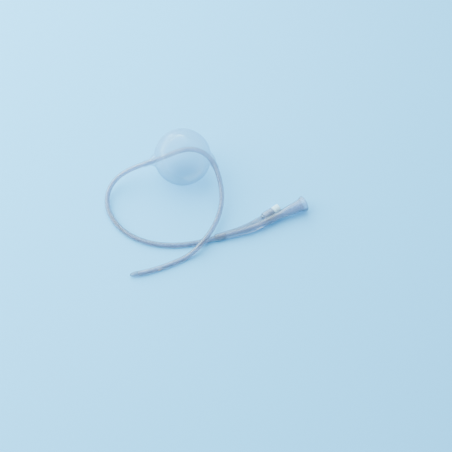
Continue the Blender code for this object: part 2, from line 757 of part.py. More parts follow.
def make_valve_spring(valve_axis, finish):
    """The coil spring between the plunger's flange and the retainer."""
    front = seal_back() - CLEARANCE - FLANGE_THICKNESS - CLEARANCE - SPRING_WIRE_RADIUS
    back = retainer_face() + CLEARANCE + SPRING_WIRE_RADIUS
    curve = bpy.data.curves.new("valve_spring", "CURVE")
    curve.dimensions = "3D"
    curve.bevel_depth = SPRING_WIRE_RADIUS
    curve.bevel_resolution = 1
    curve.use_fill_caps = True
    count = SPRING_TURNS * SPRING_POINTS_PER_TURN + 1
    line = curve.splines.new("POLY")
    line.points.add(count - 1)
    for i, point in enumerate(line.points):
        share = i / (count - 1)
        angle = math.tau * SPRING_TURNS * share
        along = front + (back - front) * share
        point.co = (along, SPRING_RADIUS * math.cos(angle), SPRING_RADIUS * math.sin(angle), 1.0)
    curve.materials.append(finish)
    spring = bpy.data.objects.new("valve_spring", curve)
    spring.parent = valve_axis
    bpy.context.collection.objects.link(spring)
    return spring


def main():
    clear_scene()
    silicone = material("clear_silicone", (0.66, 0.68, 0.74), 0.3)
    skin = material("balloon_silicone", (0.75, 0.82, 0.88), 0.15)
    white = material("white_plastic", (0.86, 0.87, 0.88), 0.4)
    rubber = material("seal_rubber", (0.16, 0.17, 0.19), 0.6)
    steel = material("spring_steel", (0.6, 0.61, 0.62), 0.3, 1.0)

    route = Centreline([Vector(point) * MM for point in SHAFT_ROUTE_MM])
    make_shaft(route, silicone)
    make_tip(route, silicone)
    make_balloon(route, skin)

    nose_height, pitch, roll = y_lie()
    axis = empty("y_axis", Y_NOSE + Vector((0.0, 0.0, nose_height)), (0.0, -pitch, Y_HEADING))
    make_y_connector(axis, -roll, silicone)
    valve_axis = make_valve_axis(axis, -roll)
    make_valve_housing(valve_axis, white)
    make_valve_plunger(valve_axis, white)
    make_valve_seal(valve_axis, rubber)
    make_valve_spring(valve_axis, steel)
    make_valve_retainer(valve_axis, white)


main()
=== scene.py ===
"""Looks of a clear two-way balloon catheter that lies in one loop on a table with its balloon filled.

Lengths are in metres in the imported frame: +X roughly along the Y connector, +Z up and the table at z = 0.
"""

import logging
import math
from dataclasses import dataclass, field
from enum import Enum

import bmesh
import bpy
import numpy as np
from bmesh.types import BMEdge, BMesh, BMFace, BMVert
from bpy.types import Material, Node, NodeSocket, Object
from mathutils import Matrix, Vector


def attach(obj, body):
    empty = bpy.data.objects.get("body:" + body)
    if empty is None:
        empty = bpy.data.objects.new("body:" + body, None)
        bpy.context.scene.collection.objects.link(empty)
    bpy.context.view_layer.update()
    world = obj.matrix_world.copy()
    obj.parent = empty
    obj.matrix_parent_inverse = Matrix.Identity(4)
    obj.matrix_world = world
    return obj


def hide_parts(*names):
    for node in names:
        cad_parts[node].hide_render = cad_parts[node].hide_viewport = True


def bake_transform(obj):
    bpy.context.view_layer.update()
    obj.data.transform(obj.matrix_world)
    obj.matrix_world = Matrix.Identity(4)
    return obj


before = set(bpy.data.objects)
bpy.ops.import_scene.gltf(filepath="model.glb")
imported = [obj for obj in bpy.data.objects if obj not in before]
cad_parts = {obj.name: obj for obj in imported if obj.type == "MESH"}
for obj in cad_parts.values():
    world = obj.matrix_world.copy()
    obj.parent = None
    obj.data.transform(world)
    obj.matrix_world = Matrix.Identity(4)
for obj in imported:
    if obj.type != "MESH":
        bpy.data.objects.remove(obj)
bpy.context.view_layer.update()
LOG = logging.getLogger("catheter")

MM = 0.001
MERGE = 1e-7
SHARP = math.radians(30.0)
CREASE = math.radians(40.0)
UP = Vector((0.0, 0.0, 1.0))
AHEAD = Vector((1.0, 0.0, 0.0))

Triple = tuple[float, float, float]
Profile = list[tuple[float, float]]
Ring = tuple[Vector, Vector, float]
Stations = list[Matrix]


class Body(Enum):
    """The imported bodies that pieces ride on."""

    CATHETER = "catheter"
    PLUNGER = "plunger"


class Slot(Enum):
    """The record's material slots."""

    SILICONE = "clear_silicone"
    SKIN = "balloon_silicone"
    PLASTIC = "white_plastic"
    RUBBER = "seal_rubber"
    STEEL = "spring_steel"


class Route:
    """The shaft's centreline: a natural cubic curve through given points, read by its arc length."""

    POINTS_MM = (
        (5.65, -41.44, 3.23),
        (1.38, -40.97, 3.03),
        (-2.59, -40.54, 2.84),
        (-10.09, -39.69, 2.30),
        (-18.59, -38.29, 2.06),
        (-28.59, -35.74, 2.06),
        (-39.09, -31.54, 2.06),
        (-49.09, -25.54, 2.06),
        (-58.09, -17.04, 2.06),
        (-65.09, -6.04, 2.06),
        (-68.79, 6.96, 2.20),
        (-69.09, 17.96, 3.00),
        (-66.39, 27.06, 4.70),
        (-60.99, 34.06, 7.40),
        (-53.09, 37.86, 11.00),
        (-43.59, 38.16, 15.20),
        (-34.09, 36.06, 19.30),
        (-24.09, 34.06, 22.30),
        (-12.79, 33.36, 24.20),
        (-1.59, 33.06, 25.40),
        (8.21, 29.86, 26.00),
        (15.41, 22.86, 24.90),
        (18.81, 12.46, 22.00),
        (18.41, 1.26, 17.90),
        (16.21, -9.04, 13.40),
        (11.81, -18.44, 10.00),
        (4.91, -27.44, 7.80),
        (-3.49, -35.34, 6.90),
        (-13.49, -42.44, 6.40),
        (-18.99, -45.24, 5.20),
        (-23.99, -46.74, 3.60),
        (-28.49, -47.64, 2.50),
        (-32.39, -48.14, 2.06),
    )
    SAMPLES = 3000

    def __init__(self) -> None:
        points = np.array(self.POINTS_MM) * MM
        steps = np.linalg.norm(np.diff(points, axis=0), axis=1)
        knots = np.concatenate([[0.0], np.cumsum(steps)])
        self.points = self.curve(points, self.bends(points, steps), knots)
        spans = np.linalg.norm(np.diff(self.points, axis=0), axis=1)
        self.lengths = np.concatenate([[0.0], np.cumsum(spans)])
        self.length = float(self.lengths[-1])

    @staticmethod
    def bends(points: np.ndarray, steps: np.ndarray) -> np.ndarray:
        """Second derivatives of the natural cubic through some points.

        Args:
            points: The points, one row each.
            steps: The distance from each point to the next.

        Returns:
            One row of second derivatives for each point.
        """
        count = len(points)
        system = np.eye(count)
        sides = np.zeros((count, 3))
        for i in range(1, count - 1):
            system[i, i - 1 : i + 2] = steps[i - 1], 2 * (steps[i - 1] + steps[i]), steps[i]
            sides[i] = 6 * ((points[i + 1] - points[i]) / steps[i] - (points[i] - points[i - 1]) / steps[i - 1])
        return np.linalg.solve(system, sides)

    @classmethod
    def curve(cls, points: np.ndarray, bends: np.ndarray, knots: np.ndarray) -> np.ndarray:
        """Samples the cubic evenly along its knots.

        Args:
            points: The points that the curve goes through.
            bends: The second derivatives there.
            knots: The running distance at each point.

        Returns:
            The samples, one row each.
        """
        places = np.linspace(0.0, knots[-1], cls.SAMPLES)
        spans = np.clip(np.searchsorted(knots, places) - 1, 0, len(knots) - 2)
        width = (knots[spans + 1] - knots[spans])[:, None]
        far = (places - knots[spans])[:, None] / width
        near = 1.0 - far
        straight = near * points[spans] + far * points[spans + 1]
        return straight + ((near**3 - near) * bends[spans] + (far**3 - far) * bends[spans + 1]) * width**2 / 6

    def at(self, along: float) -> Vector:
        """The point at an arc length."""
        return Vector([float(np.interp(along, self.lengths, self.points[:, axis])) for axis in range(3)])

    def direction(self, along: float) -> Vector:
        """The unit heading at an arc length."""
        step = 0.5 * MM
        return (self.at(along + step) - self.at(along - step)).normalized()

    def crossings(self, centre: Vector, radius: float) -> tuple[float, float]:
        """The first and last arc lengths at which the curve is inside a sphere.

        Args:
            centre: The sphere's centre.
            radius: The sphere's radius.

        Returns:
            Both arc lengths.
        """
        inside = np.linalg.norm(self.points - np.array(centre), axis=1) < radius
        return float(self.lengths[inside][0]), float(self.lengths[inside][-1])


def station(centre: Vector, heading: Vector, upright: Vector, radius: float = 1.0) -> Matrix:
    """A place for a ring: its Z runs along the heading, its X lies nearest to upright, and it is scaled by a radius.

    Args:
        centre: The ring's centre.
        heading: The direction that the ring faces.
        upright: The direction that the ring starts at, as near as it can.
        radius: The ring's radius.

    Returns:
        The matrix that takes a unit circle to the ring.
    """
    ahead = heading.normalized()
    first = (upright - ahead * upright.dot(ahead)).normalized()
    second = ahead.cross(first)
    turn = Matrix((first, second, ahead)).transposed().to_4x4()
    return Matrix.Translation(centre) @ turn @ Matrix.Scale(radius, 4)


def carried_stations(centres: list[Vector], headings: list[Vector], radii: list[float]) -> Stations:
    """Stations along a line, each turned as little as it can be from the one before.

    Args:
        centres: The places along the line.
        headings: The heading at each place.
        radii: The scale at each place.

    Returns:
        One matrix for each place.
    """
    upright = UP
    found = []
    for centre, heading, radius in zip(centres, headings, radii):
        found.append(station(centre, heading, upright, radius))
        upright = found[-1].to_3x3() @ AHEAD / radius
    return found


def level(angle: float) -> Vector:
    """The level unit vector at an angle from +X."""
    return Vector((math.cos(angle), math.sin(angle), 0.0))


def only(made: list, kind: type) -> list:
    """Those items of one kind that an operator made."""
    return [item for item in made if isinstance(item, kind)]


def circle(bm: BMesh, place: Matrix, radius: float, segments: int) -> list[BMEdge]:
    """Adds an open circle of edges.

    Args:
        bm: The mesh to add it to.
        place: Where it goes.
        radius: Its radius, before the place's own scale.
        segments: How many edges it has.

    Returns:
        Its edges.
    """
    made = bmesh.ops.create_circle(bm, cap_ends=False, segments=segments, radius=radius, matrix=place)
    return list({edge for vert in made["verts"] for edge in vert.link_edges})


def sweep(bm: BMesh, loops: list[BMEdge], places: Stations) -> list[BMEdge]:
    """Extrudes loops of edges from the first station through all the others.

    Args:
        bm: The mesh that holds them.
        loops: The edges at the first station.
        places: The stations.

    Returns:
        The edges at the last station.
    """
    for before, after in zip(places, places[1:]):
        made = bmesh.ops.extrude_edge_only(bm, edges=loops)["geom"]
        verts = set(only(made, BMVert))
        loops = [edge for edge in only(made, BMEdge) if set(edge.verts) <= verts]
        bmesh.ops.transform(bm, matrix=after @ before.inverted(), verts=list(verts))
    return loops


def cap(bm: BMesh, loops: list[BMEdge]) -> None:
    """Closes one end, leaving the holes that the inner loops make."""
    bmesh.ops.triangle_fill(bm, use_beauty=True, use_dissolve=False, edges=loops)


def lathe(profile: Profile, segments: int = 64) -> BMesh:
    """Turns (along, radius) points about X.

    Args:
        profile: The points, which start and end on the axis, or off it for a ring, where the last joins the first.
        segments: How many steps make the full turn.

    Returns:
        The turned mesh.
    """
    bm = bmesh.new()
    points = [bm.verts.new((along, 0.0, radius)) for along, radius in profile]
    for first, second in zip(points, points[1:]):
        bm.edges.new((first, second))
    if profile[0][1] > 0.0:
        bm.edges.new((points[-1], points[0]))
    bmesh.ops.spin(
        bm,
        geom=bm.verts[:] + bm.edges[:],
        cent=(0.0, 0.0, 0.0),
        axis=(1.0, 0.0, 0.0),
        angle=math.tau,
        steps=segments,
        use_merge=True,
    )
    bmesh.ops.remove_doubles(bm, verts=bm.verts, dist=MERGE)
    bmesh.ops.recalc_face_normals(bm, faces=bm.faces)
    return bm


def soften(bm: BMesh, width: float) -> None:
    """Rounds every sharp edge in two steps.

    Args:
        bm: The mesh.
        width: The bevel's width.
    """
    sharp = [edge for edge in bm.edges if len(edge.link_faces) == 2 and edge.calc_face_angle() > SHARP]
    bmesh.ops.bevel(
        bm,
        geom=sharp,
        offset=width,
        offset_type="OFFSET",
        segments=2,
        profile=0.5,
        affect="EDGES",
        clamp_overlap=True,
        material=-1,
    )


def finished(name: str, bm: BMesh, place: Matrix = Matrix.Identity(4)) -> Object:
    """Makes an object of a mesh, with its place in the mesh.

    Args:
        name: The piece's name.
        bm: The mesh, which is freed.
        place: Where the mesh goes in the frame.

    Returns:
        The object, at the origin.
    """
    bmesh.ops.transform(bm, matrix=place, verts=bm.verts)
    bmesh.ops.remove_doubles(bm, verts=bm.verts, dist=MERGE)
    bmesh.ops.recalc_face_normals(bm, faces=bm.faces)
    mesh = bpy.data.meshes.new(name)
    bm.to_mesh(mesh)
    bm.free()
    mesh.shade_smooth()
    mesh.set_sharp_from_angle(angle=CREASE)
    piece = bpy.data.objects.new(name, mesh)
    bpy.context.scene.collection.objects.link(piece)
    return piece


def apply_modifiers(piece: Object) -> None:
    """Turns an object's modified shape into its mesh and drops the modifiers."""
    shape = bpy.data.meshes.new_from_object(piece.evaluated_get(bpy.context.evaluated_depsgraph_get()))
    piece.modifiers.clear()
    piece.data = shape


def cut(piece: Object, cutter: Object, operation: str = "DIFFERENCE") -> None:
    """Applies a Boolean and removes the other object.

    Both meshes are closed. EXACT gives a slightly other mesh in some runs, so the solver is MANIFOLD.

    Args:
        piece: The object that is changed.
        cutter: The object that cuts it or joins it.
        operation: DIFFERENCE or UNION.

    Raises:
        ValueError: If the cut was skipped, as it is when a mesh isn't closed.
    """
    faces = len(piece.data.polygons)
    step = piece.modifiers.new("cut", "BOOLEAN")
    step.operation = operation
    step.solver = "MANIFOLD"
    step.object = cutter
    apply_modifiers(piece)
    if len(piece.data.polygons) == faces:
        raise ValueError(f"{cutter.name} changed nothing on {piece.name}")
    bpy.data.objects.remove(cutter, do_unlink=True)


def moulded(piece: Object, grain: float, rounds: int) -> None:
    """Rebuilds a piece as one even skin and relaxes it, which rounds its edges as a mould does.

    Args:
        piece: The object that is changed.
        grain: The size of the skin's squares.
        rounds: How often the skin is relaxed.
    """
    skin = piece.modifiers.new("skin", "REMESH")
    skin.mode = "VOXEL"
    skin.voxel_size = grain
    skin.use_smooth_shade = True
    apply_modifiers(piece)
    bm = bmesh.new()
    bm.from_mesh(piece.data)
    for _ in range(rounds):
        bmesh.ops.smooth_vert(bm, verts=bm.verts, factor=0.5, use_axis_x=True, use_axis_y=True, use_axis_z=True)
    bm.to_mesh(piece.data)
    bm.free()
    piece.data.shade_smooth()


class Value:
    """A shader socket on which Python arithmetic adds Math nodes."""

    def __init__(self, graph: "Graph", socket: NodeSocket) -> None:
        self.graph = graph
        self.socket = socket

    def __add__(self, other: "Value | float") -> "Value":
        """Sum."""
        return self.graph.math("ADD", self, other)

    def __mul__(self, other: "Value | float") -> "Value":
        """Product."""
        return self.graph.math("MULTIPLY", self, other)

    def __sub__(self, other: "Value | float") -> "Value":
        """Difference."""
        return self.graph.math("SUBTRACT", self, other)

    def __rsub__(self, other: float) -> "Value":
        """Difference, with the number first."""
        return self.graph.math("SUBTRACT", other, self)

    def __pow__(self, other: float) -> "Value":
        """Power."""
        return self.graph.math("POWER", self, other)

    __radd__ = __add__
    __rmul__ = __mul__


class Graph:
    """One material's nodes."""

    def __init__(self, name: str) -> None:
        self.material = bpy.data.materials.new(name)
        self.material.use_nodes = True
        self.tree = self.material.node_tree
        self.shader = self.tree.nodes["Principled BSDF"]

    def node(self, kind: str, settings: dict | None = None, inputs: dict | None = None) -> Node:
        """Adds a node.

        Args:
            kind: The node's type.
            settings: Its own settings, which are set first.
            inputs: Values or links for its sockets, by name or number.

        Returns:
            The node.
        """
        made = self.tree.nodes.new(kind)
        for key, value in (settings or {}).items():
            setattr(made, key, value)
        for key, value in (inputs or {}).items():
            self.feed(made.inputs[key], value)
        return made

    def feed(self, socket: NodeSocket, value: object) -> None:
        """Links a socket or sets its value."""
        if isinstance(value, Value):
            self.tree.links.new(value.socket, socket)
        else:
            socket.default_value = value

    def math(self, operation: str, first: "Value | float", second: "Value | float") -> Value:
        """Adds a Math node of two numbers."""
        made = self.node("ShaderNodeMath", {"operation": operation}, {0: first, 1: second})
        return Value(self, made.outputs[0])

    def place(self) -> Value:
        """Object coordinates."""
        return Value(self, self.node("ShaderNodeTexCoord").outputs["Object"])

    def height(self) -> Value:
        """The height above the table."""
        return Value(self, self.node("ShaderNodeSeparateXYZ", None, {0: self.place()}).outputs["Z"])

    def noise(self, size: float, detail: float = 2.0) -> Value:
        """A noise from 0 to 1 with patches of one size and so many finer layers."""
        inputs = {"Vector": self.place(), "Scale": 1.0 / size, "Detail": detail}
        return Value(self, self.node("ShaderNodeTexNoise", None, inputs).outputs["Fac"])

    def blend(self, share: Value, first: tuple, second: tuple) -> Value:
        """Mixes two colours by a share."""
        settings = {"data_type": "RGBA", "clamp_factor": True}
        made = self.node("ShaderNodeMix", settings, {"Factor": share, 6: (*first, 1.0), 7: (*second, 1.0)})
        return Value(self, made.outputs[2])

    def bump(self, height: Value, depth: float) -> Value:
        """A normal that follows a height from 0 to 1, where 1 stands for a depth."""
        inputs = {"Height": height, "Distance": depth, "Strength": 1.0}
        return Value(self, self.node("ShaderNodeBump", None, inputs).outputs["Normal"])

    def facing(self) -> Value:
        """0 where the surface faces the viewer and 1 at its outline, as gloss and thin skins need."""
        return Value(self, self.node("ShaderNodeLayerWeight").outputs["Facing"])

    def absorb(self, colour: Triple, density: float) -> None:
        """Gives the inside one constant absorption."""
        inside = self.node("ShaderNodeVolumeAbsorption", None, {"Color": (*colour, 1.0), "Density": density})
        self.tree.links.new(inside.outputs["Volume"], self.tree.nodes["Material Output"].inputs["Volume"])

    def set(self, **values: object) -> None:
        """Sets or links the shader's own sockets, with underscores for spaces."""
        for key, value in values.items():
            self.feed(self.shader.inputs[key.replace("_", " ")], value)


@dataclass(frozen=True)
class Silicone:
    """Clear silicone: a faint cloud in its tint, a fine satin grain, and a grey that deepens with its thickness."""

    name: str
    pale: Triple
    deep: Triple
    roughness: float
    transmission: float
    body: Triple
    density: float
    gloss: float = 0.2
    patch: float = 6.0 * MM
    grain: float = 0.35 * MM
    unevenness: float = 0.08
    relief: float = 0.02 * MM
    ior: float = 1.41

    def material(self) -> Material:
        """Builds the material."""
        graph = Graph(self.name)
        cloud = graph.noise(self.patch, 3.0)
        grain = graph.noise(self.grain)
        graph.set(
            Base_Color=graph.blend(cloud, self.pale, self.deep),
            Roughness=self.roughness + (grain - 0.5) * self.unevenness,
            Transmission_Weight=self.transmission,
            Specular_IOR_Level=self.gloss,
            IOR=self.ior,
            Normal=graph.bump(grain, self.relief),
        )
        graph.absorb(self.body, self.density)
        return graph.material


@dataclass(frozen=True)
class Skin:
    """The balloon's thin stretched silicone: faint high up, with painted shade that darkens it towards the table where
    it rests, and densest seen edge on.
    """

    name: str
    high: Triple
    # The colour low down, which is painted shade towards the table.
    shaded_low: Triple
    height: float
    alpha: float
    rim: float
    transmission: float
    body: Triple
    density: float
    rim_power: float = 6.0
    patch: float = 9.0 * MM
    clouding: float = 0.25
    roughness: float = 0.08
    unevenness: float = 0.06
    relief: float = 0.05 * MM
    gloss: float = 0.5
    ior: float = 1.41

    def material(self) -> Material:
        """Builds the material."""
        graph = Graph(self.name)
        cloud = graph.noise(self.patch)
        # The colour runs from the low colour at the table to the high one. This is painted shade, darkest where the
        # balloon rests, with a random cloud over it.
        share = graph.height() * (1.0 / self.height) + (cloud - 0.5) * self.clouding
        graph.set(
            Base_Color=graph.blend(share, self.shaded_low, self.high),
            Roughness=self.roughness + cloud * self.unevenness,
            Transmission_Weight=self.transmission,
            Specular_IOR_Level=self.gloss,
            IOR=self.ior,
            Alpha=self.alpha + graph.facing() ** self.rim_power * self.rim,
            Normal=graph.bump(cloud, self.relief),
        )
        graph.absorb(self.body, self.density)
        return graph.material


@dataclass(frozen=True)
class Plastic:
    """Matt moulded plastic with a fine spark-eroded grain."""

    name: str
    colour: Triple
    shade: Triple
    roughness: float
    patch: float = 2.5 * MM
    grain: float = 0.12 * MM
    unevenness: float = 0.2
    relief: float = 0.01 * MM

    def material(self) -> Material:
        """Builds the material."""
        graph = Graph(self.name)
        cloud = graph.noise(self.patch)
        grain = graph.noise(self.grain, 3.0)
        graph.set(
            Base_Color=graph.blend(cloud, self.colour, self.shade),
            Roughness=self.roughness + (grain - 0.5) * self.unevenness,
            Normal=graph.bump(grain, self.relief),
        )
        return graph.material


@dataclass(frozen=True)
class Wire:
    """Drawn spring steel."""

    name: str
    colour: Triple
    dull: Triple
    roughness: float = 0.22
    unevenness: float = 0.2
    grain: float = 0.08 * MM
    relief: float = 0.004 * MM

    def material(self) -> Material:
        """Builds the material."""
        graph = Graph(self.name)
        streaks = graph.noise(self.grain, 4.0)
        graph.set(
            Base_Color=graph.blend(streaks, self.colour, self.dull),
            Metallic=1.0,
            Roughness=self.roughness + streaks * self.unevenness,
            Normal=graph.bump(streaks, self.relief),
        )
        return graph.material


@dataclass
class Studio:
    """The table, the soft light and the camera, at the photograph's angle."""

    azimuth: float = -23.0
    elevation: float = 55.0
    distance: float = 0.9
    aim: Triple = (0.01041, -0.03154, 0.0)
    focal_pixels: float = 1153.85
    frame_pixels: float = 452.0
    sensor: float = 36.0
    floor_size: float = 6.0
    floor_drop: float = 0.05 * MM
    floor_roughness: float = 0.9
    floor_gloss: float = 0.1
    floor_colour: Triple = (0.175, 0.61, 1.0)
    sky_colour: Triple = (0.60, 0.82, 1.0)
    sky_strength: float = 0.95
    key_colour: Triple = (0.60, 0.98, 1.0)
    key_place: Triple = (-0.24, 0.36, 0.42)
    key_size: float = 1.3
    key_watts: float = 36.0

    def line_of_sight(self) -> Vector:
        """The direction that the camera looks in."""
        turn = math.radians(self.azimuth)
        tilt = math.radians(self.elevation)
        return Vector((-math.sin(turn) * math.cos(tilt), math.cos(turn) * math.cos(tilt), -math.sin(tilt)))

    def set_camera(self) -> None:
        """Creates the camera."""
        lens = bpy.data.cameras.new("camera")
        lens.sensor_width = self.sensor
        lens.lens = self.focal_pixels / self.frame_pixels * self.sensor
        camera = bpy.data.objects.new("camera", lens)
        sight = self.line_of_sight()
        camera.location = Vector(self.aim) - sight * self.distance
        camera.rotation_euler = sight.to_track_quat("-Z", "Y").to_euler()
        bpy.context.scene.collection.objects.link(camera)
        bpy.context.scene.camera = camera

    def set_lights(self) -> None:
        """Adds the pale sky and one large soft key light that faces the object."""
        world = bpy.data.worlds.new("studio")
        world.use_nodes = True
        sky = world.node_tree.nodes["Background"]
        sky.inputs["Color"].default_value = (*self.sky_colour, 1.0)
        sky.inputs["Strength"].default_value = self.sky_strength
        bpy.context.scene.world = world
        data = bpy.data.lights.new("key", "AREA")
        data.size = self.key_size
        data.energy = self.key_watts
        data.color = self.key_colour
        light = bpy.data.objects.new("key", data)
        light.location = self.key_place
        light.rotation_euler = (-Vector(self.key_place)).to_track_quat("-Z", "Y").to_euler()
        bpy.context.scene.collection.objects.link(light)

    def set_floor(self) -> None:
        """Adds the plain pale table top, just under the object."""
        bm = bmesh.new()
        bmesh.ops.create_grid(bm, x_segments=1, y_segments=1, size=self.floor_size / 2)
        floor = finished("table_top", bm, Matrix.Translation((0.0, 0.0, -self.floor_drop)))
        graph = Graph("table_paint")
        colour = (*self.floor_colour, 1.0)
        graph.set(Base_Color=colour, Roughness=self.floor_roughness, Specular_IOR_Level=self.floor_gloss)
        floor.data.materials.append(graph.material)

    def build(self) -> None:
        """Sets up the camera, the lights and the table."""
        self.set_camera()
        self.set_lights()
        self.set_floor()


@dataclass
class Piece:
    """What every sub-assembly shares: how a finished mesh is dressed and placed on its body."""

    finishes: dict[Slot, Material] = field(default_factory=dict)

    def dress(self, piece: Object, slot: Slot, node: str, body: Body | None = Body.CATHETER) -> Object:
        """Gives a piece its material, its body and the node that it stands for.

        Args:
            piece: The piece.
            slot: The record's slot that its finish comes from.
            node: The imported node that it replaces.
            body: The body that it rides on, or None where a blend carries it.

        Returns:
            The same piece.

        Raises:
            ValueError: The piece has no faces, so a cut or a rebuild of it failed.
        """
        if not piece.data.polygons:
            raise ValueError(f"{piece.name} came out empty")
        piece.data.materials.clear()
        piece.data.materials.append(self.finishes[slot])
        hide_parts(node)
        if body:
            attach(piece, body.value)
        LOG.info("%s: %d faces", piece.name, len(piece.data.polygons))
        return piece


@dataclass
class Shaft(Piece):
    """The extruded shaft with its drainage lumen and the fine inflation lumen in its wall."""

    route: Route = field(default_factory=Route)
    radius: float = 2.0 * MM
    lumen_radius: float = 1.15 * MM
    lumen_shift: float = -0.2 * MM
    inflation_radius: float = 0.25 * MM
    inflation_shift: float = 1.45 * MM
    spacing: float = 1.0 * MM
    exit: Triple = (-2.59 * MM, -40.54 * MM, 2.84 * MM)

    def build(self, tip: Object) -> Object:
        """Args:
            tip: The tip, which is the fitting at the shaft's far end. It is not used.

        Returns:
            The shaft.
        """
        count = round(self.route.length / self.spacing) + 1
        places = np.linspace(0.0, self.route.length, count)
        centres = [self.route.at(along) for along in places]
        headings = [self.route.direction(min(max(along, MM), self.route.length - MM)) for along in places]
        stations = carried_stations(centres, headings, [1.0] * count)
        bm = bmesh.new()
        loops = circle(bm, stations[0], self.radius, 32)
        for shift, radius, segments in (
            (self.lumen_shift, self.lumen_radius, 24),
            (self.inflation_shift, self.inflation_radius, 10),
        ):
            loops += circle(bm, stations[0] @ Matrix.Translation((shift, 0.0, 0.0)), radius, segments)
        cap(bm, loops)
        cap(bm, sweep(bm, loops, stations))
        shaft = self.dress(finished("catheter_shaft", bm), Slot.SILICONE, "shaft")
        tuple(self.exit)
        2 * self.radius
        [tuple(point) for point in centres]
        return shaft


@dataclass
class Tip(Piece):
    """The moulded closed tip with two drainage eyes on opposite sides."""

    route: Route = field(default_factory=Route)
    length: float = 42.2 * MM
    nose: float = 4.5 * MM
    radius: float = 2.0 * MM
    lumen_radius: float = 1.1 * MM
    lumen_end: float = 4.0 * MM
    turn: float = math.radians(19.0)
    gap: float = 0.28 * MM
    seat_gap: float = 0.3 * MM
    eye_length: float = 4.2 * MM
    eye_width: float = 2.0 * MM
    eye_from_end: float = 23.2 * MM
    eye_spacing: float = 13.0 * MM
    eye_tilt: float = math.radians(10.0)
    nose_steps: int = 12
    nose_point: float = 0.01
    segments: int = 40

    def start(self) -> tuple[Vector, float]:
        """Where the tip begins and its heading there, as an angle from +X."""
        heading = self.route.direction(self.route.length - 1.0 * MM)
        angle = math.atan2(heading.y, heading.x)
        place = self.route.at(self.route.length) + level(angle) * self.seat_gap
        place.z = self.radius
        return place, angle

    def station(self, along: float, radius: float = 1.0) -> Matrix:
        """The station at a place along the tip, which lies on one long arc.

        Args:
            along: The arc length from the tip's start.
            radius: The station's scale.

        Returns:
            The station.
        """
        place, angle = self.start()
        bend = -self.turn / self.length
        if along > 0.0:
            ahead = math.sin(bend * along) / bend
            aside = (1.0 - math.cos(bend * along)) / bend
        else:
            ahead, aside = along, 0.0
        heading = angle + bend * max(along, 0.0)
        forward = level(angle)
        sideways = Vector((-forward.y, forward.x, 0.0))
        return station(place + forward * ahead + sideways * aside, level(heading), UP, radius)

    def skin(self, bm: BMesh, first: float, last: float, radius: float, nose: float) -> list[BMEdge]:
        """Sweeps one closed skin with a round end.

        Args:
            bm: The mesh to add it to.
            first: Where it starts.
            last: Where its round end finishes.
            radius: Its radius.
            nose: The length of its round end.

        Returns:
            The edges at its open start.
        """
        barrel = np.linspace(first, last - nose, round((last - nose - first) / MM) + 1)
        steps = [math.pi / 2 * i / self.nose_steps for i in range(1, self.nose_steps + 1)]
        stations = [self.station(along, radius) for along in barrel]
        for angle in steps:
            share = max(math.cos(angle), self.nose_point)
            stations.append(self.station(last - nose + nose * math.sin(angle), radius * share))
        loop = circle(bm, stations[0], 1.0, self.segments)
        cap(bm, sweep(bm, loop, stations))
        return loop

    def eye(self, along: float, side: float) -> Object:
        """A prism with a rounded outline that cuts one eye through one wall.

        Args:
            along: Where the eye's middle is.
            side: 1 for the right-hand side, -1 for the left.

        Returns:
            The cutter.
        """
        bm = bmesh.new()
        straight = (self.eye_length - self.eye_width) / 2
        made = bmesh.ops.create_circle(bm, cap_ends=True, segments=32, radius=self.eye_width / 2)
        for vert in made["verts"]:
            vert.co.x += math.copysign(straight, vert.co.x)
        made = bmesh.ops.extrude_face_region(bm, geom=bm.faces[:])["geom"]
        bmesh.ops.translate(bm, verts=only(made, BMVert), vec=(0.0, 0.0, self.radius + MM))
        lie = Matrix.Rotation(-side * (math.pi / 2 - self.eye_tilt), 4, "Z") @ Matrix.Rotation(math.pi / 2, 4, "Y")
        return finished("eye", bm, self.station(along) @ lie)

    def build(self) -> Object:
        """Builds the tip with its lumen and eyes."""
        bm = bmesh.new()
        loops = self.skin(bm, -self.gap, self.length, self.radius, self.nose)
        lumen_last = self.length - self.lumen_end - self.nose / 2
        loops += self.skin(bm, -self.gap, lumen_last, self.lumen_radius, self.lumen_radius)
        cap(bm, loops)
        tip = finished("catheter_tip", bm)
        near = self.length - self.eye_from_end
        cut(tip, self.eye(near, 1.0))
        cut(tip, self.eye(near - self.eye_spacing, -1.0))
        return self.dress(tip, Slot.SILICONE, "tip")


